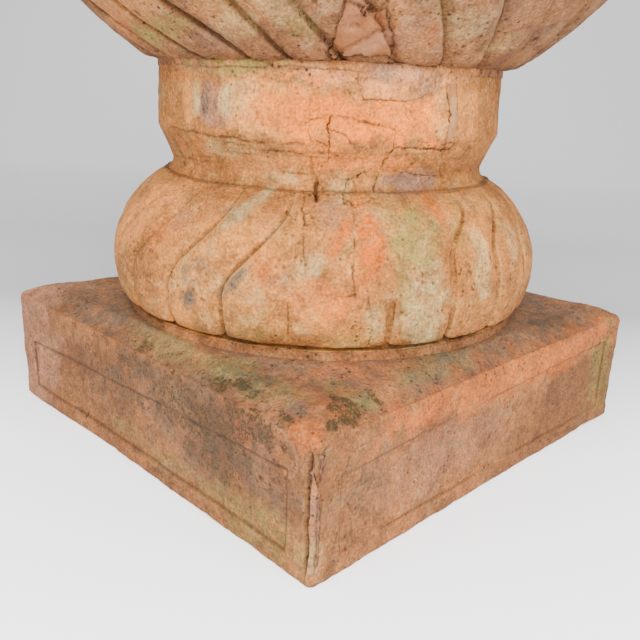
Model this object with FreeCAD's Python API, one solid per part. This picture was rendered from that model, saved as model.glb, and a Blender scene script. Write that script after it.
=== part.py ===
import FreeCAD, Part
import math
import os

# Garden urn in terracotta: a square plinth, a swirled and gadrooned socle with its neck, and a wide
# gadrooned bowl, bedded on each other in mortar, with broken neck fragments and old repairs.
# Frame: +Z up, origin at the centre of the plinth's underside, millimetres.

Vec = FreeCAD.Vector
UP = Vec(0, 0, 1)

# Driving dimensions
SIDE = 420.0            # side of the square plinth
EDGE_HEIGHT = 108.0     # height of the plinth's vertical sides
SEAT = 118.0            # height of the flat seat on top of the plinth
WALL = 26.0             # thickness of the fired clay
BED = 3.0               # thickness of a mortar bed
NECK_TOP = 328.0        # top of the socle's neck
GADROON_TOP = 545.0     # top of the bowl's gadroons
RIM_TOP = 650.0         # top of the rim
FRONT = -45.0           # direction of the plinth's most worn corner, degrees from +X

# Plinth
CORNER_RADIUS = 7.0
SEAT_HALF = 186.0       # half side of the flat seat, where the hipped slope ends
SEAT_HOLE = 118.0       # radius of the opening under the socle
PANEL_DEPTH = 3.0
PANEL_BORDER = 34.0     # border at each side of a panel
PANEL_BOTTOM = 14.0
PANEL_TOP = 76.0
FILLER_BOTTOM = 8.0     # the filler in the worn corner stops this far above the ground
FILLER_TOP = 100.0
FILLER_LEFT = 6.5       # how far it reaches along the side facing -Y
FILLER_RIGHT = 7.0      # and along the side facing +X
FILLER_DEPTH = 10.0     # and into the clay

# Socle: a ring, an ellipse for the bulb, a cove up to the waist, a chamfer and the neck
RING_RADIUS = 181.0
RING_TOP = 126.0
BULB_RADIUS = 198.0
BULB_HALF_HEIGHT = 115.0
BULB_CENTRE = 164.0
BULB_TOP = 240.0
BULB_LOBES = 22
BULB_TWIST = 13.5       # degrees that a lobe turns from its upper end to its foot
BULB_TWIST_START = 0.45     # share of the lobes' height below which they stand upright
BULB_TWIST_RUN = 0.5        # share of it over which they turn
BULB_DEPTH = 10.0
BULB_ENDS = (0.16, 0.04)    # share of a lobe's height in which it rounds off at its foot and its top
HOLLOW_HALF_HEIGHT = 100.0  # of the ellipse inside the bulb
HOLLOW_TURNS = (-26, 47)    # that ellipse's lowest and highest angle
COVE_RADIUS = 147.0     # where the cove meets the lobes
WAIST_RADIUS = 141.0
WAIST_HEIGHT = 250.0
DRUM_BOTTOM = 279.0     # top of the chamfer
DRUM_RADIUS = 153.0
DRUM_TOP = 305.0        # from here up the neck is straight
NECK_RADIUS = 152.0

# Bowl: an ellipse about a centre near the axis, then a fillet, a cavetto and a heavy rim
BOWL_FOOT = NECK_TOP + BED
BOWL_REACH = 317.0      # half width of the ellipse
BOWL_DROP = 308.0       # half height of the ellipse
BOWL_CENTRE = 593.0
BOWL_SHIFT = -12.0      # the ellipse's centre lies this far beyond the axis
BOWL_LOBES = 26
BOWL_TWIST = 36.0
BOWL_TWIST_POWER = 1.5  # how much faster the lobes turn at the foot than above
BOWL_DEPTH = 12.0
BOWL_ENDS = (0.03, 0.12)
BOWL_FLOOR = 362.0
FILLET = 10.0           # the fillet above the lobes stands this far out
FILLET_HEIGHT = 9.0
CAVETTO_FOOT = 3.0      # the cavetto above it starts this far out and this far above the fillet
CAVETTO_RADII = (30.0, 40.0)
CAVETTO_TURNS = (180.0, 95.0)
CAVETTO_CENTRE = (15.0, 14.0)   # inwards from the rim, and above the lobes
RIM_RADIUS = 335.0
RIM_ROLL = 25.0         # radius of the rolled rim
ROLL_TURNS = (-78.0, 90.0)
RIM_WALL = 48.0
DRAIN_RADIUS = 22.0

# Mortar wiped over the bowl's joint, in degrees from FRONT: a long band, and a thick lump under it
BAND_START, BAND_SWEEP = -54.0, 104.0
LUMP_START, LUMP_SWEEP = 8.0, 23.0
BAND_OUTLINE = [(150, 318), (154, 318), (158, 328), (158, 337), (150, 337)]
LUMP_OUTLINE = [(150, 306), (156, 306), (158, 320), (150, 320)]

# Broken neck fragments: corners as (degrees from FRONT, height). Neighbours share corners.
SHERD_MIDDLE = 18.0     # direction in which the breaks run through the wall
SHERD_REACH = (60.0, 190.0)     # distances from the axis between which they are cut
SMALL_SHERD = [(-6.4, 292), (-1.7, 294), (0.9, 298), (0.0, 287), (0.7, 274), (-4.6, 276.5), (-5.5, 285)]
LARGE_SHERD = [(0.9, 298), (5.9, 294.5), (12.1, 291), (19.8, 287), (18.9, 273.6), (16.4, 256.6),
               (13.2, 256.5), (5.8, 246.5), (-3.4, 253), (-3.1, 259), (0.3, 265), (0.7, 274), (0.0, 287)]
LOWER_SHERD = [(13.2, 256.5), (16.4, 256.6), (14.5, 235.7), (8.2, 231), (4.8, 233.6), (5.8, 246.5)]
RIGHT_SHERD = [(18.9, 273.6), (25.0, 273.7), (39.7, 271.4), (42.6, 249), (20.5, 255), (16.4, 256.6)]
CRACK_FILL = [(36.4, 276), (40.0, 276), (40.8, 298), (39.2, 322), (35.2, 322), (37.2, 298)]
FILL_MIDDLE = 38.0
FILL_REACH = (138.0, 190.0)
PATCH = [(-0.7, 335), (1.0, 354), (2.2, 366), (9.5, 364), (12.4, 352), (16.5, 336)]
PATCH_MIDDLE = 7.0
PATCH_RADIUS = 185.0
PATCH_REACH = (150.0, 230.0)


def export(shape, name):
    """Write one piece as a STEP file and print its check values."""
    solids = shape.Solids
    if len(solids) != 1 or not solids[0].isValid():
        raise ValueError("%s: %d solids, valid %s" % (name, len(solids), shape.isValid()))
    solids[0].exportStep("parts/%s.step" % name)
    box = shape.BoundBox
    print("%-24s %10.0f mm3  z %6.1f to %6.1f" % (name, solids[0].Volume, box.ZMin, box.ZMax))


def polar(radius, degrees, height):
    angle = math.radians(degrees)
    return Vec(radius * math.cos(angle), radius * math.sin(angle), height)


def revolved(section, start=0.0, sweep=360.0):
    """Solid of revolution about Z of a closed (radius, height) outline."""
    corners = [Vec(r, 0, z) for r, z in section]
    face = Part.Face(Part.makePolygon(corners + corners[:1]))
    face.rotate(Vec(), UP, start)
    return face.revolve(Vec(), UP, sweep)


def arc_points(centre_r, centre_z, radius_r, radius_z, start, end, count=16):
    """Points (radius, height) along an ellipse, angles in degrees from its outermost point."""
    steps = [math.radians(start + (end - start) * i / count) for i in range(count + 1)]
    return [(centre_r + radius_r * math.cos(a), centre_z + radius_z * math.sin(a)) for a in steps]


def rounded_square(half, radius, height):
    """Square wire with rounded corners, centred on the axis."""
    flat = half - radius
    middle = flat + radius * math.sqrt(0.5)
    edges = []
    for k in range(4):
        side = Part.makeLine(Vec(half, -flat, height), Vec(half, flat, height))
        corner = Part.Arc(Vec(half, flat, height), Vec(middle, middle, height), Vec(flat, half, height))
        for edge in (side, corner.toShape()):
            edge.rotate(Vec(), UP, 90 * k)
            edges.append(edge)
    return Part.Wire(edges)


def smooth(t):
    t = min(max(t, 0.0), 1.0)
    return t * t * (3 - 2 * t)


def round_end(t, length):
    """Height of a rounded lobe end: 0 at t = 0, rising like a quarter circle to 1 at t = length."""
    if t >= length:
        return 1.0
    return math.sqrt(1 - (1 - t / length) ** 2)


def gadrooned(lobes, depth, crest, twist, end_lengths, across=8, along=24):
    """Solid between two flat ends whose side is a ring of twisted lobes.

    crest(t) gives the (radius, height) of a lobe's ridge and twist(t) its turn in degrees, for t from 0
    at the lower end to 1 at the upper one. Lobes meet in a sharp groove and die out at both ends.
    """
    pitch = 360.0 / lobes
    grid = []
    for i in range(along + 1):
        t = 0.5 - 0.5 * math.cos(math.pi * i / along)
        radius, height = crest(t)
        swell = depth * round_end(t, end_lengths[0]) * round_end(1 - t, end_lengths[1])
        row = []
        for j in range(across + 1):
            u = 2.0 * j / across - 1
            row.append(polar(radius - depth + swell * (1 - u * u), pitch * j / across + twist(t), height))
        grid.append(row)
    surface = Part.BSplineSurface()
    surface.interpolate(grid)
    lobe = surface.toShape()
    faces = []
    for k in range(lobes):
        copy = lobe.copy()
        copy.rotate(Vec(), UP, pitch * k)
        faces.append(copy)
    for height in (grid[0][0].z, grid[-1][0].z):
        edges = [e for f in faces for e in f.Edges
                 if abs(e.BoundBox.ZMin - height) < 0.01 and abs(e.BoundBox.ZMax - height) < 0.01]
        faces.append(Part.Face(Part.Wire(Part.__sortEdges__(edges))))
    shell = Part.Shell(faces)
    shell.sewShape()
    solid = Part.Solid(shell)
    if solid.Volume < 0:
        solid.reverse()
    return solid


def prism(outline, middle, radius, reach):
    """Prism through the wall in the direction `middle`, from an outline in (degrees, height).

    The outline's angles are taken at `radius`, and the prism runs between the two distances in `reach`.
    """
    along = math.radians(FRONT + middle)
    outward = Vec(math.cos(along), math.sin(along), 0)
    sideways = Vec(-math.sin(along), math.cos(along), 0)
    near, far = reach
    corners = [outward * near + sideways * (radius * math.sin(math.radians(a - middle))) + UP * z
               for a, z in outline]
    return Part.Face(Part.makePolygon(corners + corners[:1])).extrude(outward * (far - near))


def bulb_crest(t):
    low = math.asin((RING_TOP - BULB_CENTRE) / BULB_HALF_HEIGHT)
    high = math.asin((BULB_TOP - BULB_CENTRE) / BULB_HALF_HEIGHT)
    angle = low + (high - low) * t
    return BULB_RADIUS * math.cos(angle), BULB_CENTRE + BULB_HALF_HEIGHT * math.sin(angle)


def bulb_twist(t):
    return BULB_TWIST * smooth((t - BULB_TWIST_START) / BULB_TWIST_RUN)


def bowl_crest(t):
    low = math.acos((BOWL_CENTRE - BOWL_FOOT) / BOWL_DROP)
    high = math.acos((BOWL_CENTRE - GADROON_TOP) / BOWL_DROP)
    angle = low + (high - low) * t
    return BOWL_SHIFT + BOWL_REACH * math.sin(angle), BOWL_CENTRE - BOWL_DROP * math.cos(angle)


def bowl_twist(t):
    return BOWL_TWIST * (1 - t) ** BOWL_TWIST_POWER


def make_plinth():
    block = Part.Face(rounded_square(SIDE / 2, CORNER_RADIUS, 0)).extrude(UP * EDGE_HEIGHT)
    slope = Part.makeLoft([rounded_square(SIDE / 2, CORNER_RADIUS, EDGE_HEIGHT),
                           rounded_square(SEAT_HALF, CORNER_RADIUS, SEAT)], True, True)
    hollow = Part.Face(rounded_square(SIDE / 2 - WALL, CORNER_RADIUS, 0)).extrude(UP * (SEAT - WALL))
    plinth = block.fuse(slope).cut(hollow).cut(Part.makeCylinder(SEAT_HOLE, SEAT))
    width = SIDE - 2 * PANEL_BORDER
    for k in range(4):
        panel = Part.makeBox(PANEL_DEPTH, width, PANEL_TOP - PANEL_BOTTOM,
                             Vec(SIDE / 2 - PANEL_DEPTH, -width / 2, PANEL_BOTTOM))
        panel.rotate(Vec(), UP, 90 * k)
        plinth = plinth.cut(panel)
    return plinth


def make_corner_filler():
    """Upright column round the worn corner; what it shares with the plinth is the filler."""
    x, y = SIDE / 2, -SIDE / 2
    outline = [(x - FILLER_LEFT, y - 1), (x + 1, y - 1), (x + 1, y + FILLER_RIGHT),
               (x - FILLER_DEPTH, y + FILLER_DEPTH)]
    corners = [Vec(across, deep, FILLER_BOTTOM) for across, deep in outline]
    return Part.Face(Part.makePolygon(corners + corners[:1])).extrude(UP * (FILLER_TOP - FILLER_BOTTOM))


def make_socle():
    ring_bottom = SEAT + BED
    ring = Part.makeCylinder(RING_RADIUS, RING_TOP - ring_bottom, Vec(0, 0, ring_bottom))
    bulb = gadrooned(BULB_LOBES, BULB_DEPTH, bulb_crest, bulb_twist, BULB_ENDS)
    cove = arc_points(COVE_RADIUS, WAIST_HEIGHT, COVE_RADIUS - WAIST_RADIUS, WAIST_HEIGHT - BULB_TOP,
                      -90, -180, 4)
    neck = revolved([(0, BULB_TOP)] + cove + [(DRUM_RADIUS, DRUM_BOTTOM), (NECK_RADIUS, DRUM_TOP),
                                              (NECK_RADIUS, NECK_TOP), (0, NECK_TOP)])
    hollow = arc_points(0, BULB_CENTRE, BULB_RADIUS - WALL - BULB_DEPTH, HOLLOW_HALF_HEIGHT, *HOLLOW_TURNS)
    throat = NECK_RADIUS - WALL
    inside = revolved([(0, SEAT), (hollow[0][0], SEAT)] + hollow
                      + [(WAIST_RADIUS - WALL, WAIST_HEIGHT), (throat, DRUM_BOTTOM), (throat, NECK_TOP + 1),
                         (0, NECK_TOP + 1)])
    return bulb.fuse([ring, neck]).cut(inside)


def make_bowl():
    body = gadrooned(BOWL_LOBES, BOWL_DEPTH, bowl_crest, bowl_twist, BOWL_ENDS)
    groove = bowl_crest(1)[0] - BOWL_DEPTH
    fillet_top = GADROON_TOP + FILLET_HEIGHT
    cavetto = arc_points(RIM_RADIUS - CAVETTO_CENTRE[0], GADROON_TOP + CAVETTO_CENTRE[1], *CAVETTO_RADII,
                         *CAVETTO_TURNS, 10)
    roll = arc_points(RIM_RADIUS - RIM_ROLL, RIM_TOP - RIM_ROLL, RIM_ROLL, RIM_ROLL, *ROLL_TURNS, 14)
    upper = revolved([(0, GADROON_TOP), (groove + FILLET, GADROON_TOP), (groove + FILLET, fillet_top),
                      (groove + CAVETTO_FOOT, fillet_top + CAVETTO_FOOT)] + cavetto + roll + [(0, RIM_TOP)])
    reach = BOWL_REACH - WALL - BOWL_DEPTH
    drop = BOWL_DROP - WALL - BOWL_DEPTH
    floor_turn = math.degrees(math.acos((BOWL_CENTRE - BOWL_FLOOR) / drop))
    inner = arc_points(BOWL_SHIFT, BOWL_CENTRE, reach, drop, floor_turn - 90, 0, 24)
    inside = revolved([(0, BOWL_FLOOR)] + inner + [(RIM_RADIUS - RIM_WALL, RIM_TOP + 1), (0, RIM_TOP + 1)])
    drain = Part.makeCylinder(DRAIN_RADIUS, BOWL_FLOOR, Vec(0, 0, BOWL_FOOT - 1))
    return body.fuse(upper).cut(inside).cut(drain)


def make_bed(outer, inner, bottom):
    bed = Part.makeCylinder(outer, BED, Vec(0, 0, bottom))
    return bed.cut(Part.makeCylinder(inner, BED, Vec(0, 0, bottom)))


def make_smear():
    """Mortar squeezed out of the bowl's joint and wiped down over the front of the neck."""
    band = revolved(BAND_OUTLINE, FRONT + BAND_START, BAND_SWEEP)
    lump = revolved(LUMP_OUTLINE, FRONT + LUMP_START, LUMP_SWEEP)
    return band.fuse(lump).removeSplitter()


def split(wall, cutter):
    """Take the fragment inside a prism out of a wall; returns (fragment, remaining wall)."""
    return wall.common(cutter), wall.cut(cutter)


os.makedirs("parts", exist_ok=True)

filler, plinth = split(make_plinth(), make_corner_filler())
export(filler, "plinth_corner_filler")
export(plinth, "plinth")

export(make_bed(RING_RADIUS - 3, RING_RADIUS - 3 - WALL, SEAT), "socle_bed_mortar")
socle = make_socle()
for name, outline in (("neck_sherd_small", SMALL_SHERD), ("neck_sherd_large", LARGE_SHERD),
                      ("neck_sherd_lower", LOWER_SHERD), ("neck_sherd_right", RIGHT_SHERD)):
    sherd, socle = split(socle, prism(outline, SHERD_MIDDLE, NECK_RADIUS, SHERD_REACH))
    export(sherd, name)
crack_fill, socle = split(socle, prism(CRACK_FILL, FILL_MIDDLE, NECK_RADIUS, FILL_REACH))
export(crack_fill, "neck_crack_filler")
export(socle, "socle")

bowl_bed = make_bed(NECK_RADIUS - 3, NECK_RADIUS - 3 - 2 * WALL, NECK_TOP)
export(bowl_bed, "bowl_bed_mortar")
bowl = make_bowl()
smear = make_smear().cut(socle).cut(bowl).cut(bowl_bed).cut(crack_fill)
export(smear, "bowl_joint_smear")
patch, bowl = split(bowl, prism(PATCH, PATCH_MIDDLE, PATCH_RADIUS, PATCH_REACH))
export(patch, "bowl_repair_patch")
export(bowl, "bowl")
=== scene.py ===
import math

import bpy
import numpy as np
from mathutils import Matrix, Vector


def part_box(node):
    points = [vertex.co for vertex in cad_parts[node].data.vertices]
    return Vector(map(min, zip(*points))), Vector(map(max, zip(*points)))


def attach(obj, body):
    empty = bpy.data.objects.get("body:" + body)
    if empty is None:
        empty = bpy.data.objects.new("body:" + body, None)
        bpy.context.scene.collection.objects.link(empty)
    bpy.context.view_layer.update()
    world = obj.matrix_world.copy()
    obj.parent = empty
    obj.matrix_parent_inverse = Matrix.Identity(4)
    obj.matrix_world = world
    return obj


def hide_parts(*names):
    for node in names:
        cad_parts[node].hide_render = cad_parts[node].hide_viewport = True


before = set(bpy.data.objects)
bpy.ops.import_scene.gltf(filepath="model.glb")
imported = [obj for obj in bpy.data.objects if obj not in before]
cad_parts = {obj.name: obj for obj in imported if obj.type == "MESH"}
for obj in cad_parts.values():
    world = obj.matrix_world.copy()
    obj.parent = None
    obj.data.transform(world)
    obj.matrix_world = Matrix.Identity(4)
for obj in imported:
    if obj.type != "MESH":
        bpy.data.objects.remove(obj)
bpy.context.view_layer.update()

# ---------------------------------------------------------------- sizes, in metres, from the frame
PLINTH_LOW, PLINTH_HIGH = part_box("plinth")
SOCLE_LOW, SOCLE_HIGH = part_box("socle")
BOWL_LOW, BOWL_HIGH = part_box("bowl")
SIDE = PLINTH_HIGH[0] - PLINTH_LOW[0]
HALF = SIDE / 2
MM = SIDE / 420                     # one millimetre on an urn whose plinth is 420 mm wide
SEAT = PLINTH_HIGH[2]
EDGE_HEIGHT = SEAT - 10 * MM
WALL = 26 * MM
RING_BOTTOM = SOCLE_LOW[2]
RING_TOP = RING_BOTTOM + 5 * MM
RING_RADIUS = 181 * MM
NECK_TOP = SOCLE_HIGH[2]
NECK_RADIUS = 152 * MM
DRUM_RADIUS = 153 * MM
DRUM_BOTTOM = 279 * MM
BULB_RADIUS = 198 * MM
BULB_HALF_HEIGHT = 115 * MM
BULB_CENTRE = 164 * MM
BULB_TOP = 240 * MM
BULB_LOBES = 22
COVE_RADIUS = 147 * MM
WAIST_RADIUS = 141 * MM
WAIST_HEIGHT = 250 * MM
BOWL_FOOT = BOWL_LOW[2]
BOWL_REACH = 317 * MM               # half width of the ellipse that the bowl follows
BOWL_DROP = 308 * MM                # its half height
BOWL_CENTRE = 593 * MM
BOWL_SHIFT = -12 * MM               # of that ellipse's centre from the axis
BOWL_LOBES = 26
BOWL_FLOOR = 362 * MM
GADROON_TOP = 545 * MM
RIM_TOP = BOWL_HIGH[2]
RIM_RADIUS = BOWL_HIGH[0]
DRAIN_RADIUS = 22 * MM
BULB_ROOM = 10 * MM                 # the turned bulb and bowl are this much smaller than the CAD
BOWL_ROOM = 12 * MM                 # surfaces, and their lobes fill the room
PANEL_MARGIN = 26 * MM              # from the sides of a plinth face to its sunk panel
HATCH_RADIUS = 118 * MM             # opening in the plinth's top, under the socle
FRONT = math.radians(-45)           # direction of the worn corner of the plinth
COLUMNS = 1100                      # divisions round the turned pieces
FRONT_DENSITY = 0.4                 # how much closer together they are at the front


# ---------------------------------------------------------------- repeatable noise
def hashed(x, y, z, seed):
    """Pseudo-random numbers in 0..1 for whole-number cells."""
    h = (x * 374761393 + y * 668265263 + z * 1440662683 + seed * 974634777).astype(np.uint32)
    h = (h ^ (h >> np.uint32(15))) * np.uint32(2246822519)
    h = (h ^ (h >> np.uint32(13))) * np.uint32(3266489917)
    return (h ^ (h >> np.uint32(16))) / float(2 ** 32)


def noise(points, size, seed, octaves=3, fade=0.5):
    """Smooth noise in about -1..1 whose largest features are `size` across."""
    total = np.zeros(points.shape[:-1])
    weight, weights = 1.0, 0.0
    for octave in range(octaves):
        q = points * (2 ** octave / size) + 17.3 * octave
        cell = np.floor(q).astype(np.int64)
        f = q - cell
        f = f * f * (3 - 2 * f)
        value = np.zeros_like(total)
        for corner in range(8):
            step = np.array([corner & 1, corner >> 1 & 1, corner >> 2 & 1])
            share = np.prod(np.where(step, f, 1 - f), axis=-1)
            at = cell + step
            value += share * hashed(at[..., 0], at[..., 1], at[..., 2], seed + octave)
        total += weight * (2 * value - 1)
        weights += weight
        weight *= fade
    return total / weights * 1.6


def pits(points, spacing, radius, seed, share=0.5):
    """Depth 0..1 of small round pits, one in some of the cells of a grid of that spacing."""
    q = points / spacing
    cell = np.floor(q).astype(np.int64)
    depth = np.zeros(points.shape[:-1])
    for corner in range(27):
        at = cell + np.array([corner % 3 - 1, corner // 3 % 3 - 1, corner // 9 - 1])
        x, y, z = at[..., 0], at[..., 1], at[..., 2]
        centre = at + np.stack([hashed(x, y, z, seed + k) for k in range(3)], -1)
        size = radius * (0.4 + 0.9 * hashed(x, y, z, seed + 3)) / spacing
        near = np.linalg.norm(q - centre, axis=-1) / size
        present = hashed(x, y, z, seed + 4) < share
        depth = np.maximum(depth, np.where(present, np.clip(1 - near ** 2, 0, 1), 0))
    return depth


def smooth(value, low=0.0, high=1.0):
    t = np.clip((value - low) / (high - low), 0, 1)
    return t * t * (3 - 2 * t)


def bell(value, width):
    """1 where the value is zero, and next to nothing from about twice the width."""
    return np.exp(-(value / width) ** 2)


# ---------------------------------------------------------------- grids that close on themselves
def polar(radius, angle, height):
    """Points in space from radius, angle in radians and height."""
    return np.stack([radius * np.cos(angle), radius * np.sin(angle), height], -1)


class Grid:
    """A closed surface as rows (along the outline) by columns (round the urn)."""

    def __init__(self, points):
        self.points = points
        self.masks = {}
        self.update()

    def update(self):
        """Work out normals, and the angle from the worn corner in degrees."""
        p = self.points
        along = np.roll(p, -1, 0) - np.roll(p, 1, 0)
        around = np.roll(p, -1, 1) - np.roll(p, 1, 1)
        normal = np.cross(around, along)
        self.normal = normal / np.maximum(np.linalg.norm(normal, axis=-1, keepdims=True), 1e-12)
        turn = np.arctan2(p[..., 1], p[..., 0]) - FRONT
        self.angle = np.degrees((turn + math.pi) % (2 * math.pi) - math.pi)
        self.z = p[..., 2]

    def radius(self, rows=slice(None)):
        """Distance from the axis."""
        return np.hypot(self.points[rows, :, 0], self.points[rows, :, 1])

    def push(self, distance):
        """Move every point outwards along its normal."""
        self.points = self.points + self.normal * distance[..., None]

    def swell(self, distance):
        """Move every point straight away from the axis."""
        share = distance / np.maximum(self.radius(), 1e-6)
        self.points[..., :2] = self.points[..., :2] * (1 + share)[..., None]
        self.update()

    def copy(self):
        twin = Grid(self.points.copy())
        twin.masks = {key: value.copy() for key, value in self.masks.items()}
        return twin

    def on_rows(self, rows, value):
        """Array over the whole grid that is zero outside some of its rows."""
        whole = np.zeros(self.z.shape)
        whole[rows] = value
        return whole

    def mask(self, name, value):
        """Add to one of the numbers that the materials read."""
        value = np.broadcast_to(value, self.points.shape[:2])
        self.masks[name] = np.maximum(self.masks.get(name, 0), np.clip(value, 0, 1))


def turned(outline, columns=COLUMNS):
    """Grid of an outline [(radius, height), ...] turned about Z, with more columns at the front."""
    outline = np.array(outline)
    share = np.arange(columns) / columns - 0.5
    angle = FRONT + 2 * math.pi * (share - FRONT_DENSITY * np.sin(2 * math.pi * share) / (2 * math.pi))
    height = np.broadcast_to(outline[:, 1, None], (len(outline), columns))
    return polar(outline[:, 0, None], angle, height)


def sampled(corners, counts):
    """Points along straight runs between corners, counts[i] on run i, without the last corner."""
    out = []
    for (a, b), n in zip(zip(corners, corners[1:]), counts):
        out += [tuple(np.array(a) + (np.array(b) - np.array(a)) * i / n) for i in range(n)]
    return out


def eased(outline, passes=2):
    """Round off an outline's corners slightly; it is a closed loop."""
    p = np.array(outline)
    for _ in range(passes):
        p = 0.25 * np.roll(p, 1, 0) + 0.5 * p + 0.25 * np.roll(p, -1, 0)
    return p


def arc(centre_r, centre_z, radius_r, radius_z, start, end, count):
    """Points on an ellipse, degrees from its outermost point, without the last one."""
    steps = np.radians(start + (end - start) * np.arange(count) / count)
    return list(zip(centre_r + radius_r * np.cos(steps), centre_z + radius_z * np.sin(steps)))


# ---------------------------------------------------------------- marks on a surface
def line_distance(points, corners):
    """Distance from each point to a polyline, in a plane or in space."""
    best = np.full(points.shape[:-1], 1e3)
    for a, b in zip(corners, corners[1:]):
        run = b - a
        t = np.clip(((points - a) * run).sum(-1) / np.maximum((run * run).sum(-1), 1e-12), 0, 1)
        best = np.minimum(best, np.linalg.norm(points - a - t[..., None] * run, axis=-1))
    return best


def inside(angle, height, outline):
    """Whether each (angle, height) lies in a closed outline of such pairs."""
    result = np.zeros(angle.shape, bool)
    for (a0, z0), (a1, z1) in zip(outline, outline[1:] + outline[:1]):
        crosses = (z0 > height) != (z1 > height)
        at = a0 + (a1 - a0) * (height - z0) / (z1 - z0 if z1 != z0 else 1e-9)
        result ^= crosses & (angle < at)
    return result


def jagged(grid, seed, size=8 * MM, amount=1.9 * MM):
    """Give a grid the shaken angles and heights that make drawn lines run like real cracks."""
    shake = [noise(grid.points, size, seed + k, 4, 0.7) * amount for k in range(2)]
    radius = np.maximum(grid.radius(), 1e-6)
    grid.crack_angle = grid.angle + np.degrees(shake[0] / radius)
    grid.crack_height = (grid.z + shake[1]) / MM


def crack_distance(grid, corners):
    """Distance in metres from a polyline in (degrees, mm) on a turned surface."""
    radius = grid.radius()
    here = np.stack([np.radians(grid.crack_angle) * radius, grid.crack_height * MM], -1)
    line = [np.stack([np.radians(a) * radius, np.full(radius.shape, h * MM)], -1) for a, h in corners]
    return np.where(grid.side > 0, line_distance(here, line), 1.0)


def crack(grid, corners, width, depth, dirt_and_shade=0.95, broken=0.7):
    """Cut a crack along a polyline in (degrees, mm); broken is how much it fades along its length."""
    near = crack_distance(grid, corners)
    strength = 1 - broken * (1 - smooth(noise(grid.points, 12 * MM, 61, 3), -0.25, 0.35))
    grid.push(-depth * strength * bell(near, width))
    grid.mask("dirt_and_shade", dirt_and_shade * strength * bell(near, 1.15 * width))


def spot(grid, name, degrees, height, wide, high, strength, seed, lean=0.0):
    """Paint an irregular stain; the fresh ones are partly painted highlight. lean is sideways mm per mm of
    height.
    """
    rise = grid.z - height
    across = np.radians(grid.angle - degrees) * grid.radius() - lean * rise
    away = np.sqrt((across / wide) ** 2 + (rise / high) ** 2)
    near = (away < 2) & (np.abs(grid.angle - degrees) < 60) & (grid.side > 0)
    away[near] += 0.5 * noise(grid.points[near], 0.6 * min(wide, high) + 6 * MM, seed, 4)
    grid.mask(name, strength * near * (1 - smooth(away, 0.55, 1.15)))


def lobe_relief(u, rise_low, rise_high, half_width, round_low, round_high, shoulder, lean=0.0):
    """Height 0..1 of a pillow-like lobe, and its distance from the groove round it.

    u runs from -1 to 1 across the lobe; rise_low and rise_high are distances from its two ends.
    """
    bow = 1 - np.sqrt(np.clip(1 - u ** 2, 0, 1))
    low = rise_low - round_low * bow
    high = rise_high - round_high * bow
    side = (1 - np.abs(u)) * half_width
    near = np.maximum(np.minimum(np.minimum(side, low), high), 0)
    t = np.clip(near / shoulder, 0, 1)
    swell = np.sqrt(1 - (1 - t) ** 2)
    return swell * (1 + lean * u), near


# ---------------------------------------------------------------- meshes
def add_mesh(name, vertices, faces, masks, nodes, material):
    mesh = bpy.data.meshes.new(name)
    mesh.from_pydata(vertices.tolist(), [], faces.tolist())
    mesh.shade_smooth()
    for key in MASKS:
        layer = mesh.attributes.new(key, "FLOAT", "POINT")
        layer.data.foreach_set("value", np.asarray(masks.get(key, np.zeros(len(vertices))), np.float32))
    mesh.materials.append(material)
    piece = bpy.data.objects.new(name, mesh)
    bpy.context.collection.objects.link(piece)
    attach(piece, "root")
    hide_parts(*nodes)
    return piece


def quads(rows, columns):
    index = np.arange(rows * columns).reshape(rows, columns)
    right = np.roll(index, -1, 1)
    up = np.roll(index, -1, 0)
    return np.stack([index, right, np.roll(up, -1, 1), up], -1)


def grid_piece(grid, name, nodes, material):
    rows, columns = grid.points.shape[:2]
    faces = quads(rows, columns).reshape(-1, 4)
    masks = {key: value.ravel() for key, value in grid.masks.items()}
    return add_mesh(name, grid.points.reshape(-1, 3), faces, masks, nodes, material)


def closed(faces, n):
    """These faces, the same reversed on points n further on, and walls round the rim between them."""
    edges = np.concatenate([faces[:, [i, (i + 1) % 4]] for i in range(4)])
    seen = set(map(tuple, edges.tolist()))
    rim = np.array([(a, b) for a, b in edges.tolist() if (b, a) not in seen])
    walls = np.stack([rim[:, 1], rim[:, 0], rim[:, 0] + n, rim[:, 1] + n], -1)
    return np.concatenate([faces, faces[:, ::-1] + n, walls])


def plate_piece(grid, member, thickness, name, nodes, material):
    """Closed plate from the faces of a grid whose four corners are all in `member`."""
    rows, columns = member.shape
    faces = quads(rows, columns).reshape(-1, 4)
    faces = faces[member.ravel()[faces].all(1)]
    used = np.unique(faces)
    renumber = np.full(rows * columns, -1)
    renumber[used] = np.arange(len(used))
    faces = renumber[faces]
    outer = grid.points.reshape(-1, 3)[used]
    inner = outer - grid.normal.reshape(-1, 3)[used] * thickness
    faces = closed(faces, len(used))
    masks = {key: np.concatenate([value.ravel()[used]] * 2) for key, value in grid.masks.items()}
    return add_mesh(name, np.concatenate([outer, inner]), faces, masks, nodes, material)


def pocket(grid, member, depth):
    """Push the surface in behind a plate, leaving a rim one face wide."""
    deeper = member & np.roll(member, 1, 0) & np.roll(member, -1, 0)
    deeper &= np.roll(member, 1, 1) & np.roll(member, -1, 1)
    grid.points = grid.points - grid.normal * (depth * deeper)[..., None]


# numbers stored on every point, which say where each kind of stain, painted shade and painted highlight lies
MASKS = ("dirt_and_shade", "bloom", "lichen", "moss", "orange", "grey", "ridge_highlight", "pink", "pale", "fresh_clay_and_highlight", "brown",
         "peach")


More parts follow.
